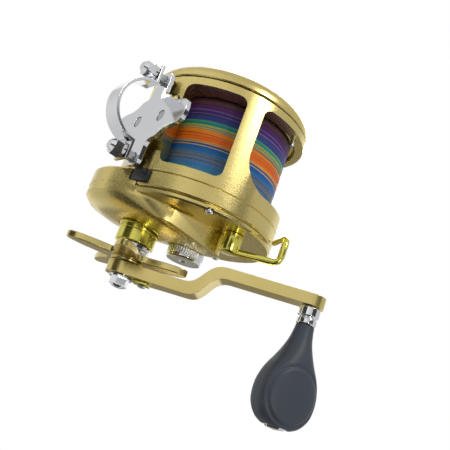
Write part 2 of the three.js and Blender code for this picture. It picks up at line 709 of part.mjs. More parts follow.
// ---------------------------------------------------------------- right side plate
// Discs whose convex hull is the gear case: [y, z, radius, x].
const caseDiscs = [
  [driveY, driveZ, caseRadius, frameHalf + gap],
  [driveY, driveZ, caseRadius, caseTop - 5.7],
  [driveY, driveZ, caseRadius - 2.6, caseTop - 3.2],
  [driveY, driveZ, caseRadius - 11, caseTop - 0.3],
  [-0.175 * ringRadius, -0.56 * ringRadius, 0.339 * ringRadius, caseTop - 5.7],
  [-0.175 * ringRadius, -0.56 * ringRadius, 0.3 * ringRadius, caseTop + 0.2],
  [-0.35 * ringRadius, -0.5, 8, frameHalf + gap],
  [-0.35 * ringRadius, -0.5, 7.6, caseCrest],
  [0, 0, 13, frameHalf + gap],
  [0, 0, 12, capSeat],
  [0.28 * ringRadius, 6, 9, frameHalf + gap],
  [0.28 * ringRadius, 6, 8, caseTop - 3.1],
];

function caseHull(inset) {
  const points = [];
  for (const [y, z, radius, x] of caseDiscs) {
    const low = x === frameHalf + gap;
    const at = low ? x - (inset ? 1 : 0) : x - inset;
    for (let i = 0; i < middle; i += 1) {
      const angle = 2 * Math.PI * i / middle;
      const reach = radius - inset;
      points.push(new THREE.Vector3(at, y + reach * Math.cos(angle), z + reach * Math.sin(angle)));
    }
  }
  return solid(new ConvexGeometry(points));
}

const rightHeadSeat = frameHalf + 1.9;    // underside of the right screws' heads

function rightSidePlate() {
  const seam = frameHalf + gap;
  const rim = turned([
    [0, seam], [ringRadius - 0.6, seam], [ringRadius, seam + 0.6], [ringRadius, plateFace - 0.8],
    [ringRadius - 0.8, plateFace], [0, plateFace]], broad, 0, -ringDrop);
  const lobe = turned([
    [0, caseBack], [caseRadius - 1, caseBack], [caseRadius, caseBack + 1], [caseRadius, seam + 0.2],
    [0, seam + 0.2]], broad, driveY, driveZ);
  const barrelRoom = rod(ringRadius + gap, caseBack - 5, seam, broad, 0, -ringDrop);
  const neck = rod(neckRadius, capSeat - 2, neckRight, middle);
  const well = tube(neckRadius, capRadius + 0.7, capSeat - 0.1, caseCrest + 1, middle);
  const seatRadius = 13;
  const seat = rod(seatRadius, caseTop, caseCrest + 1, middle, driveY, driveZ);
  const seatFloor = rod(seatRadius + wall, caseTop - wall, caseCrest + 1, middle, driveY, driveZ);
  const capFloor = rod(capRadius + 0.7 + wall, capSeat - wall, caseCrest + 1, middle);
  const hollow = cut(caseHull(wall), seatFloor, capFloor);
  const screws = rightScrews.flatMap(([y, z]) => [
    rod(plateScrewHead + 0.5, rightHeadSeat - gap, plateFace + 1, tiny, y, z),
    rod(plateScrewRadius + screwGap, seam - 1, plateFace + 1, tiny, y, z)]);
  const outside = join(rim, cut(lobe, barrelRoom), caseHull(0), neck);
  return mesh('right_side_plate', cut(outside, hollow, well, seat, blockBody(gap),
    rod(rightBearingOuter + closeFit, capSeat - 4, neckRight + 1, small),
    rod(sleeveInner + 0.5, caseTop - 6, caseCrest + 1, middle, driveY, driveZ),
    rod(leverShaft + runGap, seam - 1, plateFace + 1, tiny, leverY, leverZ),
    ...screws), goldPaint);
}

function rightScrew(index) {
  const [y, z] = rightScrews[index];
  const head = rod(plateScrewHead, rightHeadSeat, rightHeadSeat + 2, tiny, y, z);
  const shank = rod(plateScrewRadius, frameHalf - plateScrewDepth, rightHeadSeat + 0.1, tiny, y, z);
  return mesh(`right_plate_screw_${index + 1}`, join(head, shank), chromePaint);
}

function rightBearing() {
  return mesh('right_spool_bearing',
    tube(shaftTip + closeFit, rightBearingOuter, capSeat + 1, capSeat + 4, small), steelPaint);
}

function tensionCap() {
  const left = capSeat + gap;
  const right = capSeat + 9;
  const ribs = 24;
  const shape = new THREE.Shape();
  for (let i = 0; i < 2 * ribs; i += 1) {
    const angle = Math.PI * i / ribs;
    const radius = i % 2 ? capRadius - 0.35 : capRadius;
    shape[i ? 'lineTo' : 'moveTo'](radius * Math.cos(angle), radius * Math.sin(angle));
  }
  const grip = plateX(shape, left + 1.2, right - 1.4);
  const collar = rod(capRadius - 0.5, left, left + 1.3, middle);
  const crown = turned([
    [0, right - 1.5], [capRadius - 0.4, right - 1.5], [capRadius - 0.4, right - 0.7],
    [capRadius - 1.2, right], [0, right]], middle);
  const room = rod(neckRadius + gap, left - 1, right - 2, middle);
  return mesh('tension_cap', cut(join(grip, collar, crown), room), chromePaint);
}

// ---------------------------------------------------------------- clutch lever
const leverHubLeft = plateFace + gap;
const leverHubRight = frameHalf + 12.7;
const leverBarX = leverHubRight - 1.5;
const leverHookX = frameHalf - 1.9;
const leverCorner = ringPoint(155.7, ringRadius + 10.95);   // Y and Z where the bar bends back
const leverPad = ringPoint(141.1, ringRadius + 1.65);       // Y and Z of the hook's tip

function leverBar() {
  const points = [
    new THREE.Vector3(leverBarX, leverY - 2, leverZ + 1.5),
    new THREE.Vector3(leverBarX, ...leverCorner),
    new THREE.Vector3(leverHookX, ...leverCorner),
    new THREE.Vector3(leverHookX, ...leverPad)];
  const bend = 3.4;
  const path = new THREE.CurvePath();
  let from = points[0];
  for (let i = 1; i < points.length - 1; i += 1) {
    const before = points[i].clone().sub(from).setLength(from.distanceTo(points[i]) - bend).add(from);
    const after = points[i + 1].clone().sub(points[i]).setLength(bend).add(points[i]);
    path.add(new THREE.LineCurve3(from, before));
    path.add(new THREE.QuadraticBezierCurve3(before, points[i], after));
    from = after;
  }
  path.add(new THREE.LineCurve3(from, points[points.length - 1]));
  const section = new THREE.Shape();
  section.absellipse(0, 0, 1.7, 1.4, 0, 2 * Math.PI);
  return solid(new THREE.ExtrudeGeometry(section, {
    steps: 22, bevelEnabled: false, extrudePath: path, curveSegments: 4,
  }));
}

function clutchLever() {
  const hub = turned([
    [0, leverHubLeft], [4.9, leverHubLeft], [4.9, leverHubRight - 0.6], [4.3, leverHubRight],
    [0, leverHubRight]], small, leverY, leverZ);
  const shaft = rod(leverShaft, gearPlateLeft - 1, leverHubLeft + 1, tiny, leverY, leverZ);
  return mesh('clutch_lever', join(hub, shaft, leverBar()), limePaint);
}

function clutchCam() {
  const left = gearPlateLeft - 3.8;
  const right = gearPlateLeft - 0.5;
  const bore = rod(leverShaft + closeFit, left - 1, right + 1, tiny, leverY, leverZ);
  const disc = rod(4.6, left, right, small, leverY, leverZ);
  const flat = box(left - 1, right + 1, leverY - 8, leverY - 3, leverZ - 8, leverZ + 8);
  return mesh('clutch_cam', cut(disc, bore, flat), steelPaint);
}

// ---------------------------------------------------------------- star drag and handle
function starWheel() {
  const arms = 5;
  const hub = 12;
  const sharp = 1.7;           // larger makes the arms narrower
  const shape = new THREE.Shape();
  const steps = 90;
  for (let i = 0; i < steps; i += 1) {
    const angle = 2 * Math.PI * i / steps;
    const swell = (0.5 + 0.5 * Math.cos(arms * angle)) ** sharp;
    const radius = hub + (starRadius - hub) * swell;
    shape[i ? 'lineTo' : 'moveTo'](radius * Math.cos(angle), radius * Math.sin(angle));
  }
  const plate = plateX(shape, starX, starX + starThick);
  const collar = rod(8.2, starX + starThick - 0.1, armHubX - 0.8, small);
  const bore = plateX(regular(6, 5.8), starX - 1, armHubX);
  return mesh('star_wheel', cut(join(plate, collar), bore), goldPaint);
}

function dragNut() {
  const hex = plateX(regular(6, 5.4), starX + 0.1, armHubX - 0.9);
  const bore = rod(driveShaftRadius + 0.2, starX - 1, armHubX, small);
  return mesh('drag_nut', cut(hex, bore), brassPaint);
}

// Drawn with the arm along +Z, from the drive shaft at the origin.
function handleArm() {
  const hubRight = armHubX + armHubThick;
  const tipRight = armTipX + armTipThick;
  const end = handleThrow + 7;
  const side = new THREE.Shape();
  side.moveTo(armHubX, -10);
  side.lineTo(armHubX, 32);
  side.bezierCurveTo(armHubX, 40.5, armTipX, 39.5, armTipX, 50);
  side.lineTo(armTipX, end);
  side.lineTo(tipRight, end);
  side.lineTo(tipRight, 51.5);
  side.bezierCurveTo(tipRight, 42, hubRight, 44, hubRight, 34);
  side.lineTo(hubRight, -10);
  const slab = plateY(side, -12, 12, 10);
  const plan = new THREE.Shape();
  plan.absarc(0, 0, 8.4, Math.PI + 0.15, -0.15, false);
  plan.quadraticCurveTo(6.4, 10, 5.7, 26);
  plan.lineTo(5.7, handleThrow);
  plan.absarc(0, handleThrow, 5.9, 0, Math.PI, false);
  plan.lineTo(-5.7, 26);
  plan.quadraticCurveTo(-6.4, 10, -8.4 * Math.cos(0.15), 8.4 * Math.sin(0.15));
  const column = plateX(plan, armTipX - 2, hubRight + 2, 12);
  const bore = rod(driveShaftRadius + closeFit, armHubX - 2, hubRight + 2, small);
  const tipBore = rod(spindleRadius + closeFit, armTipX - 2, tipRight + 2, small, 0, handleThrow);
  return mesh('handle_arm', cut(slab.intersect(column), bore, tipBore), goldPaint);
}

const nutLeft = armHubX + armHubThick + gap;

function handleNut() {
  const flange = rod(6, nutLeft, nutLeft + 0.9, small);
  const hex = plateX(regular(6, 4.7), nutLeft + 0.8, nutLeft + 4.6);
  const crown = turned([
    [0, nutLeft + 4.5], [4, nutLeft + 4.5], [3, nutLeft + 5.5], [0, nutLeft + 5.9]], small);
  const bore = rod(threadRadius + gap, nutLeft - 1, threadEnd + gap, small);
  return mesh('handle_nut', cut(join(flange, hex, crown), bore), chromePaint);
}

const lockScrewAt = 11.5;

function nutLockPlate() {
  const shape = roundedRect(-3.6, 3.6, 6.4, 15.2, 1.8);
  const hole = rod(1.6, nutLeft - 1, nutLeft + 3, tiny, 0, lockScrewAt);
  return mesh('nut_lock_plate', cut(plateX(shape, nutLeft, nutLeft + 1.1), hole), limePaint);
}

function lockScrew() {
  const head = turned([
    [0, nutLeft + 1.4], [2.3, nutLeft + 1.4], [2.2, nutLeft + 2.2], [0, nutLeft + 2.7]],
  tiny, 0, lockScrewAt);
  const shank = rod(1.3, nutLeft + 0.1, nutLeft + 1.5, tiny, 0, lockScrewAt);
  return mesh('lock_screw', join(head, shank), chromePaint);
}

// ---------------------------------------------------------------- knob
const spindleRadius = 2.2;
const ferruleLeft = armTipX + armTipThick + gap;
const ferruleRight = ferruleLeft + 8.6;
const knobLeft = ferruleRight + gap;
const knobRight = knobLeft + 48.1;
const knobTurn = 52;         // degrees that the paddle is turned about its axis

// Sections of the knob along its length: [distance from the neck, half width, half thickness,
// squareness], from a round neck to a thick round-edged disc.
const knobStations = [
  [0, 4.4, 4.4, 2], [2.5, 4.7, 4.7, 2], [7, 5.6, 5.5, 2], [12, 7.3, 6.6, 2.2], [17, 9.6, 7.5, 2.6],
  [21, 11.8, 8, 3], [25, 13.5, 8.2, 3.4], [29.5, 14.7, 8.3, 3.6], [34, 15, 8.3, 3.6],
  [38.5, 14.4, 8.2, 3.4], [42, 12.8, 7.8, 3.1], [44.8, 10.3, 7.2, 2.8], [46.8, 6.8, 6.4, 2.2]];

function ringLoft(rings) {
  const sides = rings[0].length;
  const positions = [];
  const index = [];
  rings.forEach((ring) => ring.forEach((point) => positions.push(point.x, point.y, point.z)));
  for (let i = 0; i < rings.length - 1; i += 1) {
    for (let j = 0; j < sides; j += 1) {
      const a = i * sides + j;
      const b = i * sides + (j + 1) % sides;
      index.push(a, b, b + sides, a, b + sides, a + sides);
    }
  }
  const last = (rings.length - 1) * sides;
  for (let j = 1; j < sides - 1; j += 1) {
    index.push(0, j + 1, j);
    index.push(last, last + j, last + j + 1);
  }
  const geometry = new THREE.BufferGeometry();
  geometry.setAttribute('position', new THREE.Float32BufferAttribute(positions, 3));
  geometry.setIndex(index);
  return geometry;
}

function knobRings() {
  const sides = 24;
  return knobStations.map(([along, width, thickness, square]) => {
    const ring = [];
    for (let i = 0; i < sides; i += 1) {
      const angle = 2 * Math.PI * i / sides;
      const across = Math.cos(angle);
      const through = Math.sin(angle);
      const swell = (Math.abs(across) ** square + Math.abs(through) ** square) ** (-1 / square);
      ring.push(new THREE.Vector3(knobLeft + along, swell * width * across, swell * thickness * through));
    }
    return ring;
  });
}

const turnKnob = (body) => body.rotate([knobTurn, 0, 0]).translate([0, 0, handleThrow]);
const knobBore = 3.6;
const knobBoreEnd = knobLeft + 40;

function knobBody() {
  const bore = rod(knobBore, knobLeft - 1, knobBoreEnd, small);
  const capRoom = rod(5.2 + gap, knobRight - 4, knobRight + 3, small);
  return mesh('knob_body', turnKnob(cut(solid(ringLoft(knobRings())), bore, capRoom)), rubberPaint);
}

function knobCap() {
  const body = turned([
    [0, knobRight - 3.7], [5.2, knobRight - 3.7], [5.2, knobRight - 1.4], [4.2, knobRight - 0.4],
    [0, knobRight]], small);
  return mesh('knob_cap', turnKnob(body), chromePaint);
}

function knobFerrule() {
  const body = turned([
    [spindleRadius + gap, ferruleLeft], [4.6, ferruleLeft], [5.1, ferruleLeft + 0.6],
    [5.1, ferruleLeft + 4.4], [4.4, ferruleLeft + 5], [4.4, ferruleLeft + 5.5], [4.8, ferruleLeft + 6],
    [4.8, ferruleRight - 0.5], [4.3, ferruleRight], [spindleRadius + gap, ferruleRight]],
  small, 0, handleThrow);
  return mesh('knob_ferrule', body, chromePaint);
}

function knobSpindle() {
  const body = turned([
    [0, armTipX + 0.4], [spindleRadius, armTipX + 0.4], [spindleRadius, knobBoreEnd - 4],
    [0, knobBoreEnd - 4]], small, 0, handleThrow);
  return mesh('knob_spindle', body, steelPaint);
}

function knobBearing() {
  const from = knobLeft + 2;
  return mesh('knob_bearing',
    tube(spindleRadius + closeFit, knobBore - closeFit, from, from + 4, small, 0, handleThrow), steelPaint);
}

// ---------------------------------------------------------------- assembly
function crank() {
  const group = new THREE.Group();
  group.position.set(0, driveY, driveZ);
  group.rotation.x = radians(handleAngle);
  group.add(handleArm(), handleNut(), nutLockPlate(), lockScrew(), knobFerrule(), knobSpindle(),
    knobBearing(), knobBody(), knobCap());
  return group;
}

function starDrag() {
  const group = new THREE.Group();
  group.position.set(0, driveY, driveZ);
  group.rotation.x = radians(starAngle);
  group.add(starWheel(), dragNut());
  return group;
}

const reel = new THREE.Group();
reel.position.set(-seatX, -seatY, seatDepth);
reel.add(
  frame(), frameBlock(), reelFoot(), clampStrap(), leftSidePlate(), leftBearingCap(), leftBearing(),
  clickGear(), clickTongue(), clickButton(), spool(), woundLine(), spoolShaft(), gearPlate(),
  driveGear(), pinionGear(), clutchYoke(), ratchetWheel(), antiReversePawl(), driveShaft(),
  dragWasher(0, carbonPaint), dragWasher(1, steelPaint), dragWasher(2, carbonPaint),
  pressurePlate(), springWasher(), driveBoss(), oneWayBearing(), dragSleeve(), rightSidePlate(),
  rightBearing(), tensionCap(), clutchLever(), clutchCam(), starDrag(), crank(),
);
for (const index of [0, 1]) {
  reel.add(footScrew(index), clampStud(index), clampNut(index), yokeSpring(index));
}
for (const index of [0, 1, 2]) reel.add(leftScrew(index), rightScrew(index));

const part = new THREE.Group();
part.add(reel);

export default part;
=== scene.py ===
import json
import math
import bpy
from mathutils import Matrix, Vector


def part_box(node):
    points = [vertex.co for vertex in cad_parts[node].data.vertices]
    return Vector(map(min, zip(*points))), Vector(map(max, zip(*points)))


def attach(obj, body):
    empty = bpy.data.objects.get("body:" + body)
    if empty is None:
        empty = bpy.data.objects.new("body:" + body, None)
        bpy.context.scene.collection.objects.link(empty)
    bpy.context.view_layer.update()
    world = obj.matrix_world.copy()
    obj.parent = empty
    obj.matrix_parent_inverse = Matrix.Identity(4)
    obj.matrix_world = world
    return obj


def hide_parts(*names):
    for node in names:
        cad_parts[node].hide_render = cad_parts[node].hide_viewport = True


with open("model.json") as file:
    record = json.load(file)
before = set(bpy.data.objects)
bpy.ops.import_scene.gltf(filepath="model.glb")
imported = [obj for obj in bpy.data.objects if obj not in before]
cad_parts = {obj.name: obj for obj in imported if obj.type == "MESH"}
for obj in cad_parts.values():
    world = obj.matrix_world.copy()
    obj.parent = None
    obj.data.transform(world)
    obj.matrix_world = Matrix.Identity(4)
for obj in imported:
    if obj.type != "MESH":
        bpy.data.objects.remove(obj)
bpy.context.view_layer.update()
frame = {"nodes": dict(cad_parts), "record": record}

NODES = frame["nodes"]
MM = 0.001

# The spool's and the drive shaft's axes run along X through these places, in metres.
SPOOL_Y = 6.5 * MM
SPOOL_Z = 50.5 * MM
DRIVE_Y = 18.1 * MM
DRIVE_Z = 27.5 * MM

LOOKING = (-0.2927, 0.7778, 0.5562)   # the camera's direction of view
EDGE = 0.22                # rounding of a CAD edge, mm
TURNED_EDGE = 0.16         # rounding of a turned piece's edge, mm
CORNER = 40                # edges sharper than this many degrees are corners


# ---------------------------------------------------------------- camera, floor and light
def add_camera():
    data = bpy.data.cameras.new("camera")
    data.lens = 54.17
    data.sensor_width = 36
    data.clip_start = 0.01
    camera = bpy.data.objects.new("camera", data)
    right = Vector((-0.3215, -0.6279, 0.7088))
    up = Vector((-0.9005, -0.0286, -0.4338))
    back = right.cross(up)
    turn = Matrix((right, up, back)).transposed().to_4x4()
    camera.matrix_world = Matrix.Translation((0.1279, -0.2712, -0.1311)) @ turn
    bpy.context.collection.objects.link(camera)
    bpy.context.scene.camera = camera


def plane(name, centre, normal, width, height):
    mesh = bpy.data.meshes.new(name)
    w, h = width / 2, height / 2
    mesh.from_pydata([(-w, -h, 0), (w, -h, 0), (w, h, 0), (-w, h, 0)], [], [(0, 1, 2, 3)])
    obj = bpy.data.objects.new(name, mesh)
    turn = Vector(normal).to_track_quat("Z", "Y").to_matrix().to_4x4()
    obj.matrix_world = Matrix.Translation(centre) @ turn
    bpy.context.collection.objects.link(obj)
    return obj


def add_light(name, place, target, size, power):
    data = bpy.data.lights.new(name, "AREA")
    data.shape = "SQUARE"
    data.size = size
    data.energy = power
    light = bpy.data.objects.new(name, data)
    aim = (Vector(target) - Vector(place)).to_track_quat("-Z", "Y").to_matrix().to_4x4()
    light.matrix_world = Matrix.Translation(place) @ aim
    bpy.context.collection.objects.link(light)


class Nodes:
    """A short way to build a node tree."""

    def __init__(self, tree):
        self.tree = tree
        tree.nodes.clear()

    def add(self, kind, links=None, **values):
        node = self.tree.nodes.new(kind)
        for key, value in values.items():
            setattr(node, key, value)
        for key, value in (links or {}).items():
            self.put(node, key, value)
        return node

    def put(self, node, key, value):
        socket = node.inputs[key]
        if isinstance(value, bpy.types.NodeSocket):
            self.tree.links.new(value, socket)
        else:
            socket.default_value = value

    def math(self, operation, a, b=0.0):
        return self.add("ShaderNodeMath", {0: a, 1: b}, operation=operation).outputs[0]

    def mix(self, factor, a, b):
        node = self.add("ShaderNodeMix", {0: factor, 6: a, 7: b}, data_type="RGBA")
        return node.outputs[2]

    def span(self, value, low, high):
        """value from 0..1 to low..high"""
        node = self.add("ShaderNodeMapRange", {"Value": value, "To Min": low, "To Max": high})
        return node.outputs["Result"]

    def noise(self, vector, scale, detail=2.0, rough=0.5):
        node = self.add("ShaderNodeTexNoise", {
            "Vector": vector, "Scale": scale, "Detail": detail, "Roughness": rough})
        return node.outputs["Fac"]

    def chance(self, value):
        """A number from 0 to 1 that differs from one whole value to the next."""
        node = self.add("ShaderNodeTexWhiteNoise", {"W": value}, noise_dimensions="1D")
        return node.outputs["Value"]


def add_world():
    """A white wall behind the object, and grey all round it."""
    world = bpy.data.worlds.new("studio")
    world.use_nodes = True
    n = Nodes(world.node_tree)
    where = n.add("ShaderNodeTexCoord").outputs["Generated"]
    facing = n.add("ShaderNodeVectorMath", {0: where, 1: LOOKING}, operation="DOT_PRODUCT")
    wall = n.add("ShaderNodeMapRange", {
        "Value": facing.outputs["Value"], "From Min": 0.55, "From Max": 0.85, "To Min": 0.0, "To Max": 1.0},
        interpolation_type="SMOOTHSTEP").outputs["Result"]
    colour = n.mix(wall, (0.60, 0.60, 0.60, 1), (1.0, 1.0, 1.0, 1))
    glow = n.add("ShaderNodeBackground", {"Color": colour, "Strength": 1.0})
    out = n.add("ShaderNodeOutputWorld")
    n.tree.links.new(glow.outputs[0], out.inputs["Surface"])
    bpy.context.scene.world = world


def start(name):
    """A new material, its node builder and its object coordinates."""
    made = bpy.data.materials.new(name)
    made.use_nodes = True
    n = Nodes(made.node_tree)
    return made, n, n.add("ShaderNodeTexCoord").outputs["Object"]


def finish(n, made, shader):
    out = n.add("ShaderNodeOutputMaterial")
    n.tree.links.new(shader.outputs[0], out.inputs["Surface"])
    return made


def plain(name, colour, rough):
    made, n, where = start(name)
    speck = n.noise(where, 40.0)
    tint = n.mix(speck, (*colour, 1), tuple(c * 0.96 for c in colour) + (1,))
    shader = n.add("ShaderNodeBsdfPrincipled", {"Base Color": tint, "Roughness": rough})
    return finish(n, made, shader)


def add_stage():
    floor = plane("floor", (0, 0, -0.6), (0, 0, 1), 8, 8)
    floor.data.materials.append(plain("floor_paint", (0.86, 0.86, 0.85), 0.7))
    # Cards that only the polished surfaces see, as in a studio.
    dark = plain("dark_card", (0.02, 0.018, 0.012), 0.8)
    grey = plain("grey_card", (0.05, 0.045, 0.03), 0.8)
    middle = plain("olive_card", (0.30, 0.28, 0.22), 0.8)
    cards = [
        (plane("card_right", (0.42, -0.10, -0.02), (-1, 0.1, 0.1), 0.9, 0.5), dark),
        (plane("card_camera", (0.20, -0.52, -0.40), (-0.3, 0.78, 0.55), 0.34, 0.62), grey),
        (plane("card_low", (0.10, 0.05, -0.50), (0, 0, 1), 0.5, 0.5), dark),
        (plane("card_far", (0.26, 0.42, 0.32), (-0.35, -0.75, -0.55), 0.36, 0.40), middle),
        (plane("card_front", (-0.15, -0.62, 0.16), (0.2, 1, -0.2), 0.22, 0.5), dark),
    ]
    for card, paint_of in cards:
        card.data.materials.append(paint_of)
        card.visible_camera = False
        card.visible_shadow = False
        card.visible_diffuse = False
    add_light("key", (-0.45, -0.70, 0.10), (0, 0, 0.05), 0.22, 1.7)
    add_light("low", (0.30, -0.75, -0.10), (0.03, 0, 0.05), 0.14, 0.8)
    add_light("rim", (-0.5, 0.5, 0.5), (0, 0, 0.05), 0.5, 4)


# ---------------------------------------------------------------- materials
def from_spool(n, where):
    """x, and the offsets in y and z from the spool's axis."""
    xyz = n.add("ShaderNodeSeparateXYZ", {0: where})
    y = n.math("SUBTRACT", xyz.outputs["Y"], SPOOL_Y)
    z = n.math("SUBTRACT", xyz.outputs["Z"], SPOOL_Z)
    return xyz.outputs["X"], y, z


def turned_coords(n, where):
    """(x, distance from the spool axis, 0): lines of turning on a round part."""
    x, y, z = from_spool(n, where)
    r = n.math("SQRT", n.math("ADD", n.math("MULTIPLY", y, y), n.math("MULTIPLY", z, z)))
    return n.add("ShaderNodeCombineXYZ", {0: x, 1: r}).outputs[0]


def metal(name, light, dark, rough, grain=0.0, lines="turned", coat=0.0):
    made, n, where = start(name)
    cloud = n.noise(where, 45.0, 3.0)
    fine = n.noise(where, 900.0, 2.0)
    if lines == "turned":
        along = turned_coords(n, where)
    else:
        stretch = {0: where, 1: (1.0, 0.06, 0.06)}
        along = n.add("ShaderNodeVectorMath", stretch, operation="MULTIPLY").outputs[0]
    brush = n.noise(along, 3200.0, 3.0, 0.7)
    tint = n.mix(n.span(cloud, 0.1, 0.9), (*light, 1), (*dark, 1))
    gloss = n.math("ADD", n.span(brush, rough * 0.75, rough * 1.25), n.span(fine, -0.03, 0.03))
    bump = n.add("ShaderNodeBump", {
        "Strength": grain, "Distance": 0.00004, "Height": brush}).outputs[0]
    shader = n.add("ShaderNodeBsdfPrincipled", {
        "Base Color": tint, "Metallic": 1.0, "Roughness": gloss, "Normal": bump})
    shader.inputs["Coat Weight"].default_value = coat
    shader.inputs["Coat Roughness"].default_value = 0.12
    return finish(n, made, shader)


def moulded(name, light, dark, rough, grain, sheen=0.0):
    made, n, where = start(name)
    cloud = n.noise(where, 60.0, 4.0)
    skin = n.noise(where, 2600.0, 2.0)
    tint = n.mix(n.span(cloud, 0.0, 1.0), (*light, 1), (*dark, 1))
    gloss = n.span(skin, rough * 0.85, rough * 1.15)
    bump = n.add("ShaderNodeBump", {
        "Strength": grain, "Distance": 0.00008, "Height": skin}).outputs[0]
    shader = n.add("ShaderNodeBsdfPrincipled", {
        "Base Color": tint, "Roughness": gloss, "Normal": bump})
    shader.inputs["Sheen Weight"].default_value = sheen
    return finish(n, made, shader)


LINE_PITCH = 0.52          # mm between neighbouring strands

# Colours of the wound line: [mm along X, colour]. The near-black stops at -24.6 and -22.5 mm, by the left
# side plate, are painted shade over purple line.
LINE_BANDS = [
    [-24.6, (0.030, 0.012, 0.040)], [-22.5, (0.070, 0.020, 0.050)], [-21.0, (0.20, 0.075, 0.030)],
    [-19.8, (0.080, 0.020, 0.100)], [-18.4, (0.115, 0.028, 0.260)], [-15.0, (0.090, 0.030, 0.330)],
    [-13.0, (0.030, 0.050, 0.240)], [-11.6, (0.010, 0.200, 0.300)], [-10.4, (0.020, 0.380, 0.160)],
    [-9.6, (0.330, 0.500, 0.040)], [-9.0, (0.010, 0.300, 0.230)], [-7.8, (0.020, 0.240, 0.220)],
    [-7.0, (0.800, 0.420, 0.030)], [-6.0, (0.850, 0.230, 0.012)], [-4.0, (0.900, 0.260, 0.012)],
    [-2.4, (0.780, 0.130, 0.010)], [-0.6, (0.900, 0.300, 0.015)], [0.6, (0.780, 0.480, 0.060)],
    [1.4, (0.030, 0.120, 0.300)], [3.0, (0.015, 0.130, 0.480)], [5.0, (0.010, 0.170, 0.520)],
    [6.4, (0.060, 0.190, 0.330)], [7.2, (0.020, 0.160, 0.430)], [8.8, (0.300, 0.210, 0.060)],
    [9.6, (0.020, 0.200, 0.520)], [12.0, (0.030, 0.190, 0.520)], [13.4, (0.020, 0.260, 0.600)],
    [15.6, (0.050, 0.420, 0.620)], [18.4, (0.040, 0.360, 0.600)]]


def braid():
    made, n, where = start("braided_line")
    x, y, z = from_spool(n, where)
    turn = n.math("ARCTAN2", z, y)
    strand = n.add("ShaderNodeCombineXYZ", {
        0: n.math("MULTIPLY", x, 1900.0), 1: n.math("MULTIPLY", turn, 1.6)}).outputs[0]
    lane = n.math("FLOOR", n.math("DIVIDE", x, LINE_PITCH * MM))
    chance = n.chance(lane)
    drift = n.noise(strand, 0.22, 2.0)
    shift = n.math("ADD", n.span(chance, -1.7 * MM, 1.7 * MM), n.span(drift, -2.4 * MM, 2.4 * MM))
    moved = n.math("ADD", x, shift)
    first, last = LINE_BANDS[0][0], LINE_BANDS[-1][0]
    at = n.add("ShaderNodeMapRange", {
        "Value": moved, "From Min": first * MM, "From Max": last * MM}).outputs["Result"]
    ramp = n.add("ShaderNodeValToRGB", {"Fac": at})
    stops = ramp.color_ramp.elements
    for place, colour in LINE_BANDS[1:-1]:
        stop = stops.new((place - first) / (last - first))
        stop.color = (*colour, 1)
    stops[0].color = (*LINE_BANDS[0][1], 1)
    stops[-1].color = (*LINE_BANDS[-1][1], 1)
    weave = n.add("ShaderNodeCombineXYZ", {
        0: n.math("MULTIPLY", x, 5000.0), 1: n.math("MULTIPLY", turn, 260.0)}).outputs[0]
    plait = n.noise(weave, 1.0, 1.0)
    # Strands chosen at random per lane get painted highlight, mixed towards a pale warm colour, and painted
    # shade, mixed towards near-black.
    other = n.chance(n.math("ADD", lane, 91.0))
    strand_painted_highlight = n.mix(n.span(other, -0.65, 0.22), ramp.outputs[0], (0.95, 0.75, 0.25, 1))
    strand_painted_shade = n.mix(n.span(chance, -0.35, 0.42), strand_painted_highlight, (0.015, 0.012, 0.02, 1))
    tint = n.mix(n.span(plait, 0.0, 0.22), strand_painted_shade, (0.02, 0.02, 0.03, 1))
    bump = n.add("ShaderNodeBump", {
        "Strength": 0.5, "Distance": 0.00008, "Height": plait}).outputs[0]
    shader = n.add("ShaderNodeBsdfPrincipled", {
        "Base Color": tint, "Roughness": 0.36, "Specular IOR Level": 0.25, "Normal": bump})
    return finish(n, made, shader)


def make_materials():
    gold = ((0.80, 0.66, 0.27), (0.66, 0.53, 0.18))
    lime = ((0.80, 0.74, 0.15), (0.70, 0.64, 0.11))
    return {
        "gold": metal("gold_anodised", *gold, 0.28, grain=0.5),
        "gold_arm": metal("gold_arm", *gold, 0.24, grain=0.25, lines="straight"),
        "lime": metal("lime_anodised", *lime, 0.20, grain=0.15, coat=0.3),
        "chrome": metal("polished_silver", (0.88, 0.89, 0.91), (0.80, 0.81, 0.84), 0.10, grain=0.1),
        "steel": metal("steel", (0.55, 0.56, 0.58), (0.45, 0.46, 0.48), 0.30, grain=0.3),
        "brass": metal("brass", (0.60, 0.45, 0.18), (0.50, 0.36, 0.13), 0.32, grain=0.3),
        "black": moulded("black_plastic", (0.020, 0.022, 0.030), (0.012, 0.013, 0.018), 0.22, 0.1),
        "rubber": moulded("knob_rubber", (0.034, 0.047, 0.078), (0.028, 0.034, 0.038), 0.46, 0.35, 0.04),
        "carbon": moulded("carbon", (0.03, 0.03, 0.03), (0.02, 0.02, 0.02), 0.6, 0.3),
        "line": braid(),
    }


SLOT_PAINT = {
    "gold_anodised": "gold", "lime_anodised": "lime", "polished_silver": "chrome", "steel": "steel",
    "brass": "brass", "black_plastic": "black", "knob_rubber": "rubber", "carbon": "carbon",
    "blue_braid": "line",
}


def paint(obj, material):
    obj.data.materials.clear()
    obj.data.materials.append(material)


def smoothing_nodes(keep):
    """Smooth shading, with edges sharper than keep degrees left sharp."""
    group = bpy.data.node_groups.new(f"smooth_{keep}", "GeometryNodeTree")
    group.interface.new_socket("Geometry", in_out="INPUT", socket_type="NodeSocketGeometry")
    group.interface.new_socket("Geometry", in_out="OUTPUT", socket_type="NodeSocketGeometry")
    n = Nodes(group)
    given = n.add("NodeGroupInput")
    faces = n.add("GeometryNodeSetShadeSmooth", {"Geometry": given.outputs[0], "Shade Smooth": True})
    angle = n.add("GeometryNodeInputMeshEdgeAngle").outputs[0]
    sharp = n.add("FunctionNodeCompare", {0: angle, 1: math.radians(keep)}, operation="GREATER_THAN")
    edges = n.add("GeometryNodeSetShadeSmooth", {
        "Geometry": faces.outputs[0], "Selection": sharp.outputs[0], "Shade Smooth": False}, domain="EDGE")
    n.add("NodeGroupOutput", {0: edges.outputs[0]})
    return group


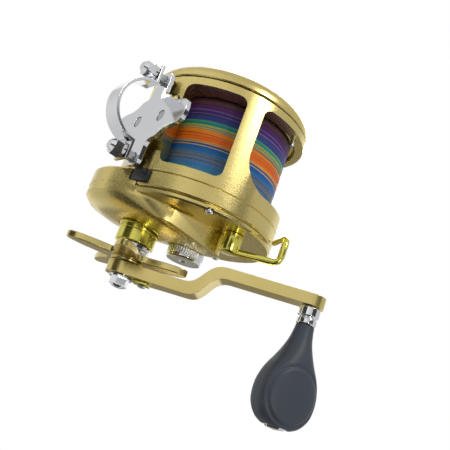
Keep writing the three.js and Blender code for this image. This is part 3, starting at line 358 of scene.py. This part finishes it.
SMOOTHING = smoothing_nodes(CORNER)
BAR_SMOOTHING = smoothing_nodes(62)       # for a round bar with few sides


def shade_and_bevel(obj, shading, width, limit):
    shade = obj.modifiers.new("shade", "NODES")
    shade.node_group = shading
    if width:
        bevel = obj.modifiers.new("bevel", "BEVEL")
        bevel.width = width * MM
        bevel.segments = 2
        bevel.limit_method = "ANGLE"
        bevel.angle_limit = math.radians(limit)
        bevel.harden_normals = True


def smooth(obj, round_edge, shading):
    """Joins a CAD mesh's triangles, rounds its sharp edges and shades it smoothly."""
    if obj.data.has_custom_normals:
        obj.data.attributes.remove(obj.data.attributes["custom_normal"])
    weld = obj.modifiers.new("weld", "WELD")
    weld.merge_threshold = 0.000004
    flat = obj.modifiers.new("flat", "DECIMATE")
    flat.decimate_type = "DISSOLVE"
    flat.angle_limit = math.radians(0.6)
    shade_and_bevel(obj, shading, round_edge, CORNER)


# Edge rounding in mm where it isn't EDGE.
ROUNDED = {
    "handle_arm": 0.7, "star_wheel": 0.5, "frame": 0.35, "right_side_plate": 0.35, "reel_foot": 0.3,
    "clutch_lever": 0.0,
}


def paint_frame(materials):
    slots = {s["node"]: s["material_slot"] for s in frame["record"]["subparts"]}
    for name, obj in NODES.items():
        paint(obj, materials[SLOT_PAINT[slots[name]]])
        shading = BAR_SMOOTHING if name == "clutch_lever" else SMOOTHING
        smooth(obj, ROUNDED.get(name, EDGE), shading)
    for name in ("handle_arm", "star_wheel"):
        paint(NODES[name], materials["gold_arm"])


# ---------------------------------------------------------------- pieces
def new_piece(name, points, faces, body, material, node):
    mesh = bpy.data.meshes.new(name)
    mesh.from_pydata(points, [], faces)
    mesh.update()
    obj = bpy.data.objects.new(name, mesh)
    bpy.context.collection.objects.link(obj)
    mesh.materials.append(material)
    mesh.shade_smooth()
    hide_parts(node)
    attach(obj, body)
    return obj


def wound_line(materials):
    """Packed line: fine ridges side by side that wander a little as they go round."""
    low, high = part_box("wound_line")
    pitch = LINE_PITCH * MM
    steps = 6
    around = 220
    left, right = low[0] + 0.1 * MM, high[0] - 0.1 * MM
    count = int((right - left) / pitch) * steps
    outer = (high[2] - low[2]) / 2 - 0.15 * MM
    points = []
    faces = []
    for i in range(count + 1):
        x = left + (right - left) * i / count
        for j in range(around):
            turn = 2 * math.pi * j / around
            lean = 0.25 * MM * math.sin(turn * 2 + x * 260)
            phase = (x - left + lean) / pitch
            ridge = abs(math.sin(math.pi * phase))
            strand = math.floor(phase)
            lift = 0.5 + 0.5 * math.sin(strand * 2.4 + math.sin(turn * 3 + strand * 1.7))
            radius = outer - 0.34 * MM * (1 - lift) - 0.22 * MM * (1 - ridge) ** 1.5
            points.append((x, SPOOL_Y + radius * math.cos(turn), SPOOL_Z + radius * math.sin(turn)))
    for i in range(count):
        for j in range(around):
            a = i * around + j
            b = i * around + (j + 1) % around
            faces.append((a, a + around, b + around, b))
    new_piece("line_pack", points, faces, "spool", materials["line"], "wound_line")


def lathe(profile, y, z, body, slot, material, node, around=96, ripple=None):
    """A turned piece round an X axis. The profile is (radius, x) in mm, closed round its wall."""
    points = []
    faces = []
    for j in range(around):
        turn = 2 * math.pi * j / around
        for k, (radius, x) in enumerate(profile):
            grown = radius + (ripple(turn, x) if ripple else 0.0)
            points.append((x * MM, y + grown * MM * math.cos(turn), z + grown * MM * math.sin(turn)))
    count = len(profile)
    for j in range(around):
        for k in range(count):
            a = j * count + k
            b = j * count + (k + 1) % count
            c = ((j + 1) % around) * count + (k + 1) % count
            d = ((j + 1) % around) * count + k
            faces.append((a, d, c, b))
    obj = new_piece(f"{node}_turned", points, faces, body, material, node)
    weld = obj.modifiers.new("weld", "WELD")
    weld.merge_threshold = 0.000002
    shade_and_bevel(obj, SMOOTHING, TURNED_EDGE, 35)


def node_axis(node):
    low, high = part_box(node)
    return (low[1] + high[1]) / 2, (low[2] + high[2]) / 2


def ends(node):
    low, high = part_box(node)
    return low[0] / MM, high[0] / MM


def turned_parts(materials):
    left, right = ends("drive_boss")
    lathe([
        (9.2, left), (10.4, left), (10.4, left + 0.9), (9.9, left + 1.2), (9.9, left + 3.0),
        (9.65, left + 3.15), (9.65, left + 3.4), (9.9, left + 3.55), (9.9, right - 0.6), (9.4, right),
        (7.1, right), (7.1, right - 1), (9.2, right - 1)], DRIVE_Y, DRIVE_Z, "housing", "lime_anodised",
        materials["lime"], "drive_boss")
    left, right = ends("drag_sleeve")
    lathe([
        (3.3, left), (6.7, left), (6.7, right - 4.6), (9, right - 4.6), (9, right - 2.8), (8.5, right - 2.5),
        (8.5, right - 1.4), (8.2, right - 1.25), (8.2, right - 1.0), (8.5, right - 0.85), (8.5, right),
        (3.3, right)], DRIVE_Y, DRIVE_Z, "crank", "polished_silver", materials["chrome"], "drag_sleeve")
    left, right = ends("tension_cap")

    def knurl(turn, x):
        inside = left + 1.2 < x < right - 2.2
        return -0.22 * abs(math.sin(24 * turn)) if inside else 0.0

    lathe([
        (7.3, left), (8.9, left), (8.9, left + 1.1), (9.35, left + 1.3), (9.35, right - 2.3),
        (9.1, right - 2.1), (9.1, right - 1.7), (9.35, right - 1.5), (9.35, right - 0.8), (8.7, right),
        (2.2, right), (1.8, right - 0.5), (0.02, right - 0.5), (0.02, right - 2), (7.3, right - 2)],
        SPOOL_Y, SPOOL_Z, "cap", "polished_silver", materials["chrome"], "tension_cap",
        around=384, ripple=knurl)
    left, right = ends("knob_ferrule")
    lathe([
        (2.5, left), (4.6, left), (5.1, left + 0.6), (5.1, left + 4.4), (4.4, left + 5), (4.4, left + 5.5),
        (4.8, left + 6), (4.8, right - 0.5), (4.3, right), (2.5, right)],
        *node_axis("knob_ferrule"), "knob", "polished_silver", materials["chrome"], "knob_ferrule")
    left, right = ends("left_bearing_cap")
    lathe([
        (0.02, right), (8.9, right), (8.9, left + 0.8), (8.1, left + 0.15), (6.4, left + 0.1),
        (6.1, left + 0.5), (5.6, left + 0.5), (5.3, left), (2.6, left), (2.3, left + 0.5),
        (0.02, left + 0.5)],
        SPOOL_Y, SPOOL_Z, "housing", "lime_anodised", materials["lime"], "left_bearing_cap")
    left, right = ends("click_button")

    def grip(turn, x):
        return -0.25 * abs(math.sin(9 * turn)) if x < left + 2.4 else 0.0

    lathe([
        (0.02, left), (3.4, left + 0.1), (4.3, left + 1.0), (4.35, left + 2.5), (1.75, left + 2.5),
        (1.75, right), (0.02, right)],
        *node_axis("click_button"), "clicker", "lime_anodised", materials["lime"], "click_button",
        around=180, ripple=grip)


def plate_screws(materials):
    """Button heads with a round dimple."""
    for side, sign, slot in (("left", -1, "steel"), ("right", 1, "polished_silver")):
        for number in (1, 2, 3):
            node = f"{side}_plate_screw_{number}"
            low, high = ends(node)
            face = low if sign < 0 else high
            tail = high if sign < 0 else low
            lathe([
                (0.02, face - sign * 1.0), (0.9, face - sign * 0.7), (0.95, face - sign * 0.1), (1.3, face),
                (1.75, face - sign * 0.2), (2.1, face - sign * 0.8), (2.1, face - sign * 1.45),
                (1.15, face - sign * 1.5), (1.15, tail), (0.02, tail)],
                *node_axis(node), "housing", slot, materials[SLOT_PAINT[slot]], node, around=48)


KNOB_FIT = 0.985           # keeps the round grip inside its box in the frame
KNOB_TWIST = 48.7 + 52     # degrees about X: the handle's angle at rest, then the knob's own turn
PAD_CENTRE = 32.5          # mm from the knob's neck to the middle of its round pads
GROOVE = 12.9              # radius of the groove round a pad, mm
GROOVE_WIDTH = 0.75
GROOVE_DEPTH = 0.60
CAP_HOLLOW = 44.2          # mm from the neck to the floor under the end cap

# Sections of the knob in mm: distance from the neck, half width, half thickness, squareness.
KNOB = [
    (0, 4.4, 4.4, 2), (2.5, 4.7, 4.7, 2), (7, 5.6, 5.5, 2), (12, 7.3, 6.6, 2.2), (17, 9.6, 7.5, 2.6),
    (21, 11.8, 8, 3), (25, 13.5, 8.2, 3.4), (29.5, 14.7, 8.3, 3.6), (34, 15, 8.3, 3.6),
    (38.5, 14.4, 8.2, 3.4), (42, 12.8, 7.8, 3.1), (44.8, 10.3, 7.2, 2.8), (46.4, 7.6, 6.7, 2.3),
    (46.8, 6.6, 6.2, 2.2)]


def catmull(a, b, c, d, t):
    """A smooth curve through b (t = 0) and c (t = 1)."""
    square = 2 * a - 5 * b + 4 * c - d
    cube = 3 * b - a - 3 * c + d
    return 0.5 * (2 * b + (c - a) * t + square * t * t + cube * t ** 3)


def knob(materials):
    """A smooth rubber grip: round neck, then a thick disc with a groove round a pad on each face."""
    left, _ = ends("knob_body")
    y0, z0 = node_axis("knob_ferrule")
    twist = math.radians(KNOB_TWIST)
    across = Vector((0, math.cos(twist), math.sin(twist)))
    through = Vector((0, -math.sin(twist), math.cos(twist)))
    rows = []
    for i in range(len(KNOB) - 1):
        quad = [KNOB[max(i - 1, 0)], KNOB[i], KNOB[i + 1], KNOB[min(i + 2, len(KNOB) - 1)]]
        for k in range(8):
            rows.append([catmull(*(q[v] for q in quad), k / 8) for v in range(4)])
    rows.append(list(KNOB[-1]))
    rows.append([CAP_HOLLOW, 5.5, 5.5, 2])
    rows.append([CAP_HOLLOW, 0.05, 0.05, 2])
    around = 144
    points = []
    faces = []
    for along, width, thick, square in rows:
        for j in range(around):
            turn = 2 * math.pi * j / around
            c, s = math.cos(turn), math.sin(turn)
            swell = (abs(c) ** square + abs(s) ** square) ** (-1 / square)
            u, v = swell * width * KNOB_FIT * c, swell * thick * KNOB_FIT * s
            off = math.hypot(along - PAD_CENTRE, u)
            if abs(v) > 0.6 * thick and along < 46:
                v -= math.copysign(GROOVE_DEPTH * math.exp(-((off - GROOVE) / GROOVE_WIDTH) ** 2), v)
            place = Vector(((left + along) * MM, y0, z0)) + (across * u + through * v) * MM
            points.append(tuple(place))
    for i in range(len(rows) - 1):
        for j in range(around):
            a = i * around + j
            b = i * around + (j + 1) % around
            faces.append((a, b, b + around, a + around))
    faces.append(tuple(range(around - 1, -1, -1)))
    new_piece("knob_grip", points, faces, "knob", materials["rubber"], "knob_body")


bpy.context.scene.view_settings.view_transform = "Standard"
add_camera()
add_world()
add_stage()
MATERIALS = make_materials()
paint_frame(MATERIALS)
wound_line(MATERIALS)
turned_parts(MATERIALS)
plate_screws(MATERIALS)
knob(MATERIALS)
